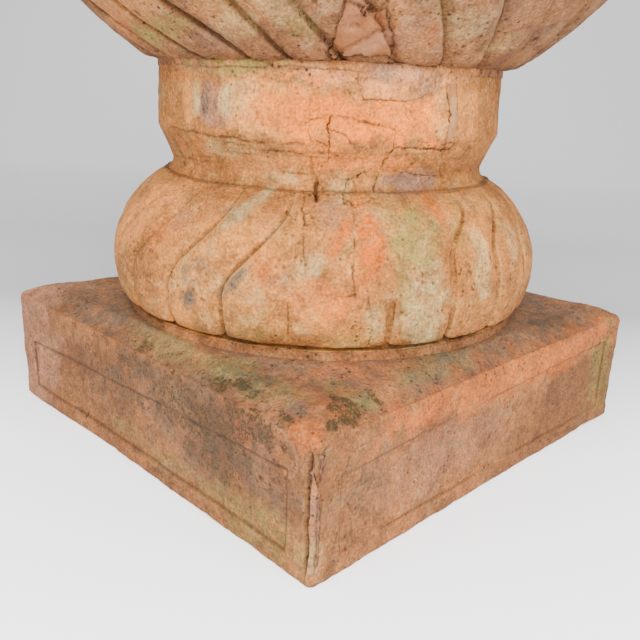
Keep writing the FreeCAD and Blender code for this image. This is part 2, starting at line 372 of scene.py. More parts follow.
# ---------------------------------------------------------------- materials
class Shader:
    """Small helper that builds a node material; its methods return node outputs."""

    def __init__(self, name, roughness):
        self.material = bpy.data.materials.new(name)
        self.material.use_nodes = True
        self.tree = self.material.node_tree
        self.surface = self.tree.nodes["Principled BSDF"]
        self.surface.inputs["Roughness"].default_value = roughness
        self.surface.inputs["Specular IOR Level"].default_value = 0.25
        self.where = self.tree.nodes.new("ShaderNodeTexCoord").outputs["Object"]

    def noise(self, size, detail=4.0, roughness=0.55, distortion=0.0):
        node = self.tree.nodes.new("ShaderNodeTexNoise")
        node.inputs["Scale"].default_value = 1 / size
        node.inputs["Detail"].default_value = detail
        node.inputs["Roughness"].default_value = roughness
        node.inputs["Distortion"].default_value = distortion
        self.tree.links.new(self.where, node.inputs["Vector"])
        return node.outputs["Fac"]

    def mask(self, name):
        node = self.tree.nodes.new("ShaderNodeAttribute")
        node.attribute_name = name
        return node.outputs["Fac"]

    def span(self, value, low, high, to_low=0.0, to_high=1.0):
        node = self.tree.nodes.new("ShaderNodeMapRange")
        for key, number in zip(("From Min", "From Max", "To Min", "To Max"), (low, high, to_low, to_high)):
            node.inputs[key].default_value = number
        self.tree.links.new(value, node.inputs["Value"])
        return node.outputs["Result"]

    def math(self, operation, a, b):
        node = self.tree.nodes.new("ShaderNodeMath")
        node.operation = operation
        for socket, value in zip(node.inputs, (a, b)):
            if isinstance(value, (int, float)):
                socket.default_value = value
            else:
                self.tree.links.new(value, socket)
        return node.outputs[0]

    def times(self, a, b):
        return self.math("MULTIPLY", a, b)

    def plus(self, a, b):
        return self.math("ADD", a, b)

    def mix(self, amount, a, b):
        node = self.tree.nodes.new("ShaderNodeMix")
        node.data_type = "RGBA"
        self.tree.links.new(amount, node.inputs["Factor"])
        for key, value in (("A", a), ("B", b)):
            socket = [s for s in node.inputs if s.name == key and s.type == "RGBA"][0]
            if isinstance(value, tuple):
                socket.default_value = value + (1.0,)
            else:
                self.tree.links.new(value, socket)
        return [s for s in node.outputs if s.type == "RGBA"][0]

    def scale(self, colour, amount):
        """Make a colour lighter or darker by a factor that varies over the surface."""
        node = self.tree.nodes.new("ShaderNodeVectorMath")
        node.operation = "SCALE"
        self.tree.links.new(colour, node.inputs[0])
        self.tree.links.new(amount, node.inputs["Scale"])
        return node.outputs[0]

    def holes(self, spacing, size):
        """1 in small round pits, one in each cell of that spacing."""
        node = self.tree.nodes.new("ShaderNodeTexVoronoi")
        node.inputs["Scale"].default_value = 1 / spacing
        self.tree.links.new(self.where, node.inputs["Vector"])
        return self.span(node.outputs["Distance"], size, 0.4 * size)

    def finish(self, colour, height, strength, distance):
        bump = self.tree.nodes.new("ShaderNodeBump")
        bump.inputs["Strength"].default_value = strength
        bump.inputs["Distance"].default_value = distance
        self.tree.links.new(height, bump.inputs["Height"])
        self.tree.links.new(colour, self.surface.inputs["Base Color"])
        self.tree.links.new(bump.outputs["Normal"], self.surface.inputs["Normal"])
        return self.material


# mask, the noise values between which a stain breaks up, and its colour; brown is also painted shadow, fresh
# partly painted highlight
STAINS_AND_PAINTED_LIGHT = (("brown", 0.34, 0.58, (0.105, 0.040, 0.012)),
          ("peach", 0.30, 0.54, (0.60, 0.215, 0.045)),
          ("fresh_clay_and_highlight", 0.28, 0.52, (0.72, 0.170, 0.012)),
          ("orange", 0.32, 0.52, (0.37, 0.076, 0.003)),
          ("pink", 0.32, 0.56, (0.24, 0.110, 0.062)),
          ("bloom", 0.36, 0.58, (0.36, 0.250, 0.095)),
          ("moss", 0.36, 0.60, (0.18, 0.150, 0.030)),
          ("grey", 0.36, 0.58, (0.068, 0.050, 0.034)))


def fired_clay(name, base, light, deep, pale, speckle=0.5, pitting=0.3):
    """Weathered unglazed terracotta: four clay tones, then the stains, painted shade and painted highlights
    that the masks place.

    speckle is the strength of the dark pits and grains, pitting how deep the grain is.
    """
    s = Shader(name, 0.9)
    colour = s.mix(s.span(s.noise(0.085, 5, 0.6, 0.6), 0.40, 0.60), base, light)
    colour = s.mix(s.span(s.noise(0.028, 6, 0.7, 0.9), 0.47, 0.62, 0.0, 0.75), colour, deep)
    colour = s.mix(s.span(s.noise(0.042, 7, 0.75, 1.4), 0.52, 0.64, 0.0, 0.7), colour, pale)
    broken = s.noise(0.014, 7, 0.8, 0.5)
    peppered = s.noise(0.0060, 7, 0.85, 0.3)
    fine = s.noise(0.0055, 5, 0.75)
    grain = s.noise(0.0021, 3, 0.6)
    colour = s.mix(s.span(s.noise(0.0042, 5, 0.75, 0.4), 0.54, 0.66, 0.0, 0.45), colour, pale)
    # stains; the brown tone also serves as painted shadow in the bowl's valleys, the fresh tone partly as
    # painted highlight
    for mask, low, high, tone in STAINS_AND_PAINTED_LIGHT:
        colour = s.mix(s.times(s.mask(mask), s.span(broken, low, high)), colour, tone)
    colour = s.scale(colour, s.span(s.noise(0.075, 3, 0.5, 0.3), 0.36, 0.64, 0.82, 1.16))
    colour = s.scale(colour, s.span(s.noise(0.011, 6, 0.7, 0.4), 0.34, 0.66, 0.74, 1.22))
    colour = s.scale(colour, s.span(grain, 0.32, 0.68, 0.62, 1.34))
    crust = s.plus(s.times(peppered, 0.4), s.times(grain, 0.5))
    crust = s.plus(crust, s.times(s.mask("lichen"), 0.62))
    colour = s.mix(s.span(crust, 0.86, 0.96, 0.0, 0.92), colour, (0.022, 0.016, 0.004))
    # pale painted highlight along the lobes' ridges
    colour = s.mix(s.times(s.mask("ridge_highlight"), 0.75), colour, pale)
    dark = (0.030, 0.011, 0.004)
    scattered = s.span(s.noise(0.05, 4, 0.6), 0.42, 0.60)
    small_pits = s.times(s.holes(0.0060, 0.25), scattered)
    colour = s.mix(s.times(small_pits, speckle), colour, dark)
    colour = s.mix(s.span(s.noise(0.0032, 5, 0.7), 0.60, 0.70, 0.0, speckle), colour, dark)
    # darken where there is dirt and where shade is painted: grooves, angles, panel edges and under the bowl
    colour = s.mix(s.times(s.mask("dirt_and_shade"), s.span(fine, 0.25, 0.6, 0.6, 0.95)), colour, dark)
    height = s.plus(s.noise(0.008, 6, 0.65), s.times(grain, pitting))
    height = s.math("SUBTRACT", height, s.times(small_pits, 0.8))
    return s.finish(colour, height, 0.9, 0.0018)


def mortar(name, tone, pale, dark):
    """Hand-smoothed mortar or filler, with sand grains showing."""
    s = Shader(name, 0.92)
    colour = s.mix(s.span(s.noise(0.03, 5, 0.6, 0.8), 0.42, 0.62), tone, pale)
    colour = s.mix(s.span(s.noise(0.007, 5, 0.7, 0.4), 0.48, 0.68, 0.0, 0.8), colour, dark)
    sand = s.noise(0.0018, 3, 0.6)
    colour = s.mix(s.span(sand, 0.57, 0.68, 0.0, 0.6), colour, dark)
    colour = s.mix(s.times(s.mask("moss"), 0.8), colour, (0.150, 0.125, 0.040))
    colour = s.mix(s.times(s.mask("pale"), s.span(s.noise(0.012, 6, 0.75), 0.3, 0.6, 0.2, 0.95)), colour,
                   (0.330, 0.150, 0.075))
    colour = s.mix(s.times(s.mask("dirt_and_shade"), 0.95), colour, (0.030, 0.012, 0.006))
    return s.finish(colour, s.plus(s.noise(0.006, 5, 0.65), sand), 0.8, 0.0014)


CLAY_PLINTH = fired_clay("terracotta_plinth", (0.160, 0.057, 0.016), (0.208, 0.074, 0.020),
                         (0.090, 0.034, 0.011), (0.215, 0.106, 0.040), 0.75)
CLAY_SOCLE = fired_clay("terracotta_socle", (0.285, 0.098, 0.018), (0.360, 0.130, 0.023),
                        (0.170, 0.058, 0.010), (0.340, 0.188, 0.060), 0.5)
CLAY_BOWL = fired_clay("terracotta_bowl", (0.195, 0.078, 0.028), (0.260, 0.112, 0.041),
                       (0.108, 0.043, 0.017), (0.300, 0.170, 0.078), 0.9, 0.6)
CLAY_SMEAR = fired_clay("clay_mortar", (0.240, 0.088, 0.030), (0.300, 0.125, 0.048),
                        (0.120, 0.045, 0.017), (0.300, 0.175, 0.100), 0.8, 0.6)
PALE_MORTAR = mortar("pale_mortar", (0.310, 0.118, 0.036), (0.370, 0.175, 0.070), (0.180, 0.064, 0.020))
FILLER = mortar("repair_filler", (0.235, 0.086, 0.030), (0.300, 0.125, 0.052), (0.140, 0.050, 0.018))


# ---------------------------------------------------------------- socle and its fragments
# corners as (degrees from the worn corner, height in mm); neighbours share corners
SMALL_SHERD = [(-6.4, 292), (-1.7, 294), (0.9, 298), (0.0, 287), (0.7, 274), (-4.6, 276.5), (-5.5, 285)]
LARGE_SHERD = [(0.9, 298), (5.9, 294.5), (12.1, 291), (19.8, 287), (18.9, 273.6), (16.4, 256.6),
               (13.2, 256.5), (5.8, 246.5), (-3.4, 253), (-3.1, 259), (0.3, 265), (0.7, 274), (0.0, 287)]
LOWER_SHERD = [(13.2, 256.5), (16.4, 256.6), (14.5, 235.7), (8.2, 231), (4.8, 233.6), (5.8, 246.5)]
RIGHT_SHERD = [(18.9, 273.6), (25.0, 273.7), (39.7, 271.4), (42.6, 249), (20.5, 255), (16.4, 256.6)]
CRACK_FILL = [(36.4, 276), (40.0, 276), (40.8, 298), (39.2, 322), (35.2, 322), (37.2, 298)]
SHERDS = (("neck_sherd_small", SMALL_SHERD), ("neck_sherd_large", LARGE_SHERD),
          ("neck_sherd_lower", LOWER_SHERD), ("neck_sherd_right", RIGHT_SHERD))
# (corners, width in mm, depth in mm)
NECK_CRACKS = (
    ([(-4.9, 263), (-4.4, 251), (-2.9, 244), (-2.3, 235)], 1.3, 5.5),
    ([(-6.4, 292), (-5.5, 285), (-4.6, 276.5), (0.7, 274), (0.3, 265), (-3.1, 259)], 0.55, 1.4),
    ([(-6.4, 292), (-1.7, 294)], 0.5, 1.0),
    ([(1.2, 300), (0.0, 287), (4.7, 282), (6.8, 275)], 0.6, 0.9),
    ([(5.9, 294.5), (12.1, 291), (19.8, 287), (18.9, 273.6), (18.3, 270.6), (16.4, 256.6)], 0.7, 1.3),
    ([(18.9, 273.6), (25.0, 273.7), (39.7, 271.4)], 0.6, 1.0),
    ([(-3.4, 253), (5.8, 246.5)], 0.6, 1.0),
    ([(13.2, 256.5), (16.5, 255), (14.5, 235.7)], 0.6, 1.0),
    ([(4.8, 233.6), (6.3, 235.5), (7.3, 233.1), (8.2, 230.7)], 0.6, 1.0),
    ([(-14, 252), (-9, 251), (-5, 252)], 0.7, 1.0),
    ([(-58, 278), (-41, 276.2), (-22.6, 274.5), (-5.4, 273.4)], 0.8, 1.3),
    ([(-36, 272), (-19.2, 268.3), (-5.5, 266.6)], 0.6, 0.8),
    ([(7.2, 232.5), (7.1, 217), (6.8, 198), (7.0, 172.8)], 0.7, 0.9),
    ([(-6.5, 239), (-5.0, 222), (-4.5, 203), (-3.7, 186)], 0.7, 0.8),
    ([(-7.0, 166.5), (-6.7, 153), (-6.6, 139)], 0.7, 0.8),
    ([(-3.1, 177), (-1.5, 180), (0.0, 179), (-0.3, 170)], 0.6, 0.9),
    ([(0.1, 173), (7.0, 172.8)], 0.6, 1.0),
    ([(10.2, 172.7), (11.4, 133.3)], 0.6, 1.2),
    ([(13.9, 170), (15.2, 133)], 0.6, 1.0),
    ([(36.6, 276), (38.6, 262), (40.8, 247)], 0.7, 1.2),
    ([(40.0, 275.2), (54.4, 277)], 0.6, 0.8))


def make_socle():
    low = math.degrees(math.asin((RING_TOP - BULB_CENTRE) / BULB_HALF_HEIGHT))
    high = math.degrees(math.asin((BULB_TOP - BULB_CENTRE) / BULB_HALF_HEIGHT))
    ring = sampled([(152 * MM, RING_BOTTOM), (RING_RADIUS - 1.5 * MM, RING_BOTTOM),
                    (RING_RADIUS, RING_BOTTOM + 2 * MM), (RING_RADIUS - 1 * MM, RING_TOP - 1 * MM),
                    (BULB_RADIUS * math.cos(math.radians(low)) - BULB_ROOM, RING_TOP)], (6, 3, 4, 4))
    bulb = arc(0, BULB_CENTRE, BULB_RADIUS - BULB_ROOM, BULB_HALF_HEIGHT, low, high, 118)
    cove = arc(COVE_RADIUS, WAIST_HEIGHT, COVE_RADIUS - WAIST_RADIUS, WAIST_HEIGHT - BULB_TOP, -90, -180, 12)
    neck = cove + sampled([(WAIST_RADIUS, WAIST_HEIGHT), (DRUM_RADIUS, DRUM_BOTTOM), (NECK_RADIUS, 300 * MM),
                           (NECK_RADIUS, NECK_TOP), (124 * MM, NECK_TOP)], (28, 20, 26, 5))
    inner = sampled([(124 * MM, NECK_TOP), (124 * MM, 285 * MM), (114 * MM, 262 * MM), (112 * MM, 237 * MM)],
                    (5, 3, 3)) + arc(0, BULB_CENTRE, 162 * MM, 100 * MM, 46, -25, 12)
    grid = Grid(turned(eased(ring + bulb + neck + inner, 1)))
    grid.side = grid.on_rows(slice(len(ring) - 12, len(ring) + len(bulb) + len(neck)), 1)

    # swirled lobes on the bulb
    rows = slice(len(ring), len(ring) + len(bulb))
    t = (np.arange(len(bulb)) / len(bulb))[:, None]
    length = 165 * MM
    angle = grid.angle[rows]
    early = 0.30 + 0.28 * smooth(angle, 5, 35) * smooth(-angle, -120, -70)
    twist = (13.2 - 2.8 * np.sin(np.radians(angle))) * smooth((t - early) / (0.92 - early))
    uneven = 4.5 * (smooth(angle, -6, 12) - smooth(angle, 60, 170)) + 0.8 * np.sin(np.radians(5 * angle))
    shake = 0.25 * noise(grid.points[rows], 22 * MM, 14, 3)
    phase = (angle - twist - uneven + 5.9 + shake) / (360 / BULB_LOBES)
    u = 2 * (phase - np.floor(phase)) - 1
    half_width = math.pi * grid.radius(rows) / BULB_LOBES
    swell, near = lobe_relief(u, t * length, (1 - t) * length + 20 * MM, half_width, 10 * MM, 0, 15 * MM)
    # in the mended middle one groove is nearly gone, and the next one is lost in its upper part
    kept = 1 - 0.88 * (np.round(phase) == 0)
    kept = kept - 0.85 * (np.round(phase) == 1) * smooth(t, 0.28, 0.42)
    upper = smooth(1 - t, -0.02, 0.16)
    step = 1.5 * (u > 0) * np.exp(-near / (6 * MM)) * smooth(t, 0.12, 0.35)
    body = 9.6 - kept * (5.8 - 2.8 * t) * (1 - swell) * (0.35 + 0.65 * upper) - kept * step * upper
    body = (body - 3.1 * smooth(t, 0.88, 1.0)) * smooth(t * length + 3 * MM, 0, 10 * MM)
    line = bell(near, 0.8 * MM) * (0.35 + 0.65 * upper) * kept
    line = line * (1 - 0.5 * (np.round(phase) == 1))
    grid.swell(grid.on_rows(rows, body * MM))
    groove = grid.on_rows(rows, line)
    patchy = smooth(noise(grid.points, 45 * MM, 8, 2), -0.7, 0.5)
    fading = smooth(noise(grid.points, 28 * MM, 9, 2), -0.8, 0.1)
    # grooves are cut in and darkened with a line that is partly dirt and partly painted shade
    grid.push(-1.9 * MM * groove * (0.35 + 0.65 * fading))
    # the lobe edge beside each groove gets a pale painted highlight
    ridge = grid.on_rows(rows, kept * (u < 0) * bell(near - 2.6 * MM, 1.4 * MM) * upper)
    grid.mask("dirt_and_shade", (0.25 + 0.6 * patchy) * groove * (0.3 + 0.7 * fading))
    grid.mask("ridge_highlight", 0.6 * ridge * patchy)

    # worn, hand-made surface
    p = grid.points
    grid.push((1.3 * noise(p, 90 * MM, 1, 2) - 0.4 + 0.5 * noise(p, 16 * MM, 2, 3)
               + 0.22 * noise(p, 5 * MM, 3, 2)) * MM * grid.side)
    dents = pits(p, 15 * MM, 1.5 * MM, 40, 0.35) * grid.side
    specks = pits(p, 6 * MM, 0.75 * MM, 46, 0.30) * grid.side * smooth(noise(p, 60 * MM, 47, 2), -0.3, 0.5)
    grid.push(-(0.8 * dents + 0.5 * specks) * MM)
    grid.mask("dirt_and_shade", np.minimum(1.3 * dents + 1.3 * specks, 0.9))
    # dark lines under the lobes and in the angle of the waist, partly dirt and partly painted shade
    for height, width, strength in ((RING_TOP, 1.3, 0.9), (BULB_TOP, 0.9, 0.6)):
        ragged = grid.z + 0.8 * MM * noise(p, 20 * MM, 48, 2)
        grid.mask("dirt_and_shade", strength * bell(ragged - height, width * MM) * grid.side)
    # throwing lines round the lower neck
    for height, strength in ((253, 0.4), (258, 0.35), (264, 0.5), (268, 0.35)):
        ragged = grid.z / MM + 1.6 * noise(p * [0.35, 0.35, 1], 20 * MM, 50 + height, 3)
        ring_line = bell(ragged - height, 0.8)
        ring_line = ring_line * smooth(noise(p, 50 * MM, 70 + height, 2), -0.1, 0.5)
        grid.push(-0.6 * strength * MM * ring_line * grid.side)
        grid.mask("dirt_and_shade", strength * ring_line * grid.side)

    grid.update()
    jagged(grid, 60)
    for corners, width, depth in NECK_CRACKS:
        crack(grid, corners, width * MM, depth * MM)
    return grid


def make_sherds(grid):
    """The fragments of the neck and the filler beside them, each set in its own pocket of the wall."""
    pieces = []
    for name, outline in SHERDS + (("neck_crack_filler", CRACK_FILL),):
        member = inside(grid.crack_angle, grid.crack_height, outline) & (grid.side > 0)
        crack(grid, outline + outline[:1], 0.5 * MM, 0.7 * MM, 0.85, 0.95)
        pieces.append((name, member))
    surface = grid.copy()
    for k, (name, member) in enumerate(pieces):
        pocket(grid, member, 7 * MM)
        raised = Grid(surface.points + surface.normal * (0.20 - 0.15 * (k % 3)) * MM)
        raised.masks = surface.masks
        filler = name == "neck_crack_filler"
        if filler:
            raised.push((0.4 + 0.9 * noise(raised.points, 5 * MM, 95, 3)) * MM)
        plate_piece(raised, member, 6.5 * MM, name, [name],
                    PALE_MORTAR if filler else CLAY_SOCLE)


# kind: (degrees, height, width, tallness, strength, sideways lean), sizes in mm
SOCLE_STAINS_AND_HIGHLIGHTS = {
    "grey": ((-30, 180, 10, 16, 1, 0.3), (-31, 158, 7, 11, 1, 0.3), (-20, 175, 6, 15, 1, 0.9),
        (-9, 180, 9, 8, 0.55, 0), (-24, 222, 16, 8, 0.35, 0.8), (-38.5, 300, 5, 17, 1, -0.1),
        (-34, 304, 3, 14, 0.8, 0.1), (30, 244, 22, 8, 0.4, 0), (-50, 296, 6, 12, 0.3, 0),
        (120, 180, 40, 25, 0.5, 0), (-120, 230, 60, 14, 0.4, 0)),
    "orange": ((10.5, 203, 13, 28, 1, 0), (3.5, 210, 8, 14, 0.8, 0.3), (-12, 190, 14, 18, 0.35, 0),
        (-45, 200, 26, 16, 0.3, 0.6), (31, 232, 6, 14, 0.7, 0), (0, 300, 40, 14, 0.25, 0),
        (90, 210, 50, 20, 0.4, 0), (1, 172, 30, 20, 0.35, 0)),
    # bright orange on the neck front and bulb front: partly fresh clay, partly painted highlight
    "fresh_clay_and_highlight": ((8, 293, 84, 20, 1, 0), (-16, 300, 50, 14, 0.75, 0), (26, 294, 26, 16, 0.7, 0),
        (8, 262, 60, 8, 0.4, 0), (0, 165, 24, 18, 0.25, 0)),
    "pink": ((-35, 300, 17, 18, 0.9, 0), (27, 247, 30, 10, 1, 0), (2, 228, 12, 10, 0.5, 0),
        (-38, 215, 12, 10, 0.4, 0.6)),
    "bloom": ((24, 165, 24, 38, 1, 0), (40, 190, 10, 26, 0.9, 0), (12, 150, 8, 20, 0.5, 0),
        (-22, 224, 10, 16, 0.8, 0.9), (-34, 180, 7, 26, 0.35, 0.4), (-27, 299, 22, 20, 0.6, 0),
        (-42.5, 300, 4, 18, 1, 0), (-31, 303, 5, 17, 1, 0.1), (-30, 268, 26, 7, 0.5, 0),
        (-14, 246, 16, 6, 0.7, 0), (-3, 190, 10, 14, 0.7, 0.3), (4, 243, 10, 10, 0.5, 0),
        (56, 200, 9, 30, 0.6, 0.2), (34, 300, 12, 16, 0.4, 0), (160, 200, 60, 60, 0.5, 0),
        (-110, 290, 40, 30, 0.5, 0), (100, 300, 40, 22, 0.5, 0)),
    "moss": ((22, 212, 24, 22, 1, 0), (18, 175, 7, 34, 0.55, 0), (36, 215, 10, 20, 0.45, 0.4),
        (-14, 140, 26, 10, 0.35, 0), (6, 136, 22, 8, 0.4, 0), (-150, 180, 50, 30, 0.4, 0),
        (175, 290, 60, 22, 0.4, 0)),
    "brown": ((-25, 306, 8, 10, 0.7, 0), (1, 162, 34, 30, 0.42, 0), (-14, 158, 30, 22, 0.3, 0),
        (66, 190, 30, 54, 0.6, 0), (-16, 266, 40, 10, 0.35, 0), (-36, 300, 3, 16, 0.8, -0.1),
        (48, 262, 26, 12, 0.35, 0), (-12, 136, 60, 8, 0.7, 0), (30, 136, 30, 6, 0.5, 0)),
    "peach": ((-17, 300, 44, 20, 0.85, 0), (12, 296, 60, 18, 0.45, 0), (36, 297, 20, 22, 0.6, 0),
        (47, 298, 24, 24, 0.5, 0), (-22, 256, 40, 10, 0.35, 0), (-60, 205, 36, 42, 0.7, 0.6),
        (8, 250, 30, 10, 0.35, 0), (-46, 298, 10, 20, 0.6, 0))}


def paint_socle_stains_and_highlights(grid):
    for kind, spots in SOCLE_STAINS_AND_HIGHLIGHTS.items():
        for degrees, height, wide, high, strength, lean in spots:
            spot(grid, kind, degrees, height * MM, wide * MM, high * MM, strength,
                 int(300 + height + degrees), lean)


# ---------------------------------------------------------------- bowl
def make_bowl():
    low = math.degrees(math.acos((BOWL_CENTRE - BOWL_FOOT) / BOWL_DROP)) - 90
    high = math.degrees(math.acos((BOWL_CENTRE - GADROON_TOP) / BOWL_DROP)) - 90
    centre_r = BOWL_SHIFT - BOWL_ROOM
    foot_r = centre_r + BOWL_REACH * math.cos(math.radians(low))
    top_r = centre_r + BOWL_REACH * math.cos(math.radians(high))
    under = sampled([(DRAIN_RADIUS, BOWL_FOOT), (foot_r, BOWL_FOOT)], (12,))
    share = (np.arange(150) / 150) ** 1.7           # rows are closer together near the foot
    turns = np.radians(low + (high - low) * share)
    side = list(zip(centre_r + BOWL_REACH * np.cos(turns), BOWL_CENTRE + BOWL_DROP * np.sin(turns)))
    cavetto = arc(RIM_RADIUS - 15 * MM, GADROON_TOP + 14 * MM, 30 * MM, 40 * MM, 180, 95, 12)
    roll = arc(RIM_RADIUS - 27 * MM, RIM_TOP - 26 * MM, 25 * MM, 25 * MM, -78, 90, 22)
    fillet = sampled([(top_r, GADROON_TOP), (top_r + 9 * MM, GADROON_TOP),
                      (top_r + 9 * MM, GADROON_TOP + 9 * MM),
                      (top_r + 3 * MM, GADROON_TOP + 12 * MM)], (4, 5, 2))
    upper = fillet + cavetto + roll
    reach = BOWL_REACH - WALL - BOWL_ROOM
    drop = BOWL_DROP - WALL - BOWL_ROOM
    turn = math.degrees(math.acos((BOWL_CENTRE - BOWL_FLOOR) / drop)) - 90
    lip = sampled([(RIM_RADIUS - 27 * MM, RIM_TOP - 1 * MM), (RIM_RADIUS - 47 * MM, RIM_TOP - 2 * MM),
                   (RIM_RADIUS - 52 * MM, RIM_TOP - 12 * MM), (reach + BOWL_SHIFT, BOWL_CENTRE)], (6, 4, 6))
    inner = arc(BOWL_SHIFT, BOWL_CENTRE, reach, drop, 0, turn, 26)
    floor = sampled([inner[-1], (DRAIN_RADIUS, BOWL_FLOOR), (DRAIN_RADIUS, BOWL_FOOT)], (6, 4))[1:]
    grid = Grid(turned(eased(under + side + upper + lip + inner + floor, 1)))
    grid.side = grid.on_rows(slice(len(under), len(under) + len(side) + len(upper) + len(lip)), 1)

    # twisted lobes; each rises to a ridge at its right edge and drops into a narrow valley
    rows = slice(len(under), len(under) + len(side))
    t = share[:, None]
    length = BOWL_REACH * math.radians(high - low)
    angle = grid.angle[rows]
    uneven = 3.6 * bell(angle + 25, 11) + 0.8 * np.sin(np.radians(4 * angle + 30))
    shake = 0.35 * noise(grid.points[rows], 26 * MM, 15, 3)
    phase = (angle - uneven - 3.6 - 36 * (1 - t) ** 1.5 + 36 + shake) / (360 / BOWL_LOBES)
    u = 2 * (phase - np.floor(phase)) - 1
    half_width = math.pi * grid.radius(rows) / BOWL_LOBES
    swell, near = lobe_relief(u, t * length + 8 * MM, (1 - t) * length, half_width, 4 * MM, 26 * MM, 15 * MM)
    edge = (1 - u) * half_width
    sharp = 0.35 + 0.65 * smooth(angle, -12, 6)
    crest = bell(edge - 5.5 * MM, 2.6 * MM) * sharp * smooth(t, 0.0, 0.06)
    full = 11.0 + 6.0 * smooth(-t, -0.75, -0.35) + 1.2 * smooth(angle, 20, 60) * smooth(-t, -0.6, -0.3)
    body = full - 9.8 * (1 - swell) - 1.6 * sharp * (1 - u) / 2 + 0.9 * crest
    line = bell(near, 1.4 * MM)
    body = body * smooth(t * length + 6 * MM, 0, 12 * MM)
    grid.swell(grid.on_rows(rows, np.clip(body - 2.0 * line, 0, 18) * MM))
    # grooves darkened: a thin line of dirt with a broader band of painted shade
    groove = grid.on_rows(rows, np.maximum(line, 0.5 * bell(near, 4.5 * MM)))
    # painted brown shadow in the valleys, and at the lobes' feet where the bowl meets the neck
    foot = smooth(-t * length, -16 * MM, -3 * MM)
    valley = grid.on_rows(rows, bell(near, 11 * MM) * (0.35 + 0.65 * (u > 0)) + foot)
    ridge = grid.on_rows(rows, crest)
    patchy = smooth(noise(grid.points, 45 * MM, 9, 2), -0.7, 0.5)
    grid.mask("dirt_and_shade", (0.45 + 0.4 * patchy) * groove)
    grid.mask("brown", 0.75 * valley * (0.4 + 0.6 * patchy))
    # pale painted highlight along each lobe's crest
    grid.mask("ridge_highlight", 0.6 * ridge * (0.3 + 0.7 * patchy))

    p = grid.points
    inward = np.minimum(noise(p, 110 * MM, 5, 2), 0.4) - 0.4
    grid.push((1.4 * inward + 0.6 * noise(p, 18 * MM, 6, 3) + 0.3 * noise(p, 4 * MM, 7, 2)) * MM * grid.side)
    crowded = smooth(noise(p, 50 * MM, 139, 2), -0.7, 0.4)
    fine = pits(p, 6 * MM, 1.25 * MM, 140, 0.65) * crowded
    coarse = pits(p, 24 * MM, 2.8 * MM, 150, 0.5)
    grid.push(-(1.0 * fine + 2.4 * coarse) * MM * grid.side)
    grid.mask("dirt_and_shade", np.minimum(1.7 * fine + 1.4 * coarse, 0.95) * grid.side)
    grid.update()
    jagged(grid, 160)
    return grid


# kind: (degrees, height, width, tallness, strength), sizes in mm
BOWL_STAINS = {
    "moss": ((-50, 346, 24, 7, 0.9), (-38, 352, 26, 8, 0.75), (-36, 375, 30, 9, 0.45),
        (-20, 368, 14, 10, 0.4), (-6, 352, 12, 9, 0.5), (20, 366, 8, 8, 0.5), (170, 420, 110, 60, 0.4),
        (-60, 610, 90, 14, 0.5)),
    "bloom": ((-20, 352, 20, 12, 0.6), (-10, 366, 14, 12, 0.6), (28, 356, 16, 14, 0.55),
        (42, 350, 14, 9, 0.4), (-90, 450, 90, 50, 0.5), (140, 600, 120, 20, 0.5), (60, 480, 60, 40, 0.4)),
    "orange": ((21, 352, 12, 10, 0.3), (-58, 352, 20, 12, 0.35), (0, 560, 160, 30, 0.3),
        (130, 470, 90, 40, 0.3)),
    "grey": ((34, 366, 20, 14, 0.4), (-30, 372, 30, 10, 0.35), (52, 356, 12, 18, 0.5),
        (60, 440, 90, 40, 0.5), (-160, 620, 150, 25, 0.6), (-30, 470, 60, 30, 0.4)),
    "pink": ((16, 350, 14, 12, 0.5), (-28, 344, 22, 8, 0.4)),
    "lichen": ((90, 520, 80, 30, 0.6), (20, 640, 120, 12, 0.6)),
    "peach": ((-46, 362, 60, 16, 0.32), (-20, 360, 30, 16, 0.28), (12, 356, 26, 20, 0.2))}


def stain_bowl(grid):
    for kind, spots in BOWL_STAINS.items():
        for degrees, height, wide, high, strength in spots:
            spot(grid, kind, degrees, height * MM, wide * MM, high * MM, strength,
                 int(500 + height + degrees))


PATCH = [(-0.7, 335), (1.0, 354), (2.2, 366), (9.5, 364), (12.4, 352), (16.5, 336)]
PATCH_CRACKS = ([(-0.2, 334.7), (4.3, 342), (8.7, 351), (11.1, 355)], [(2.2, 366), (1.2, 372), (0.6, 380)],
                [(9.5, 364), (9.0, 373)])


def make_patch(grid):
    """Folded repair in the front of the bowl, smooth in the middle, set in a pocket of its surface."""
    crack(grid, PATCH + PATCH[:1], 0.9 * MM, 2.0 * MM, 0.85, 0.45)
    for corners in PATCH_CRACKS:
        crack(grid, corners, 0.9 * MM, 2.0 * MM, 0.9, 0.3)
    member = inside(grid.crack_angle, grid.crack_height, PATCH) & (grid.side > 0)
    edge = crack_distance(grid, PATCH + PATCH[:1])
    height = grid.z / MM
    slant = (height - 335) - 1.75 * (grid.angle + 0.2)
    fold = np.abs(slant)
    depth = np.where(slant > 0, 2.6 * smooth(slant, 0, 14), 1.6 * smooth(-slant, 0, 9))
    ripple = 0.7 * noise(grid.points * [1, 1, 2.2], 9 * MM, 203, 3) * smooth(-slant, 2, 10)
    lifted = Grid(grid.points + grid.normal * ((1.2 - depth + ripple) * MM)[..., None])
    lifted.masks = {"dirt_and_shade": np.maximum(0.45 * bell(slant - 1.2, 0.8),
                                       0.8 * bell(edge, 1.0 * MM)),
                    "pale": 0.9 * smooth(-slant, 0.5, 3) * (1 - smooth(-slant, 9, 16)) * smooth(fold, 0, 1)}
    plate_piece(lifted, member, 3.5 * MM, "bowl_repair_patch", ["bowl_repair_patch"], FILLER)
    pocket(grid, member, 3 * MM)


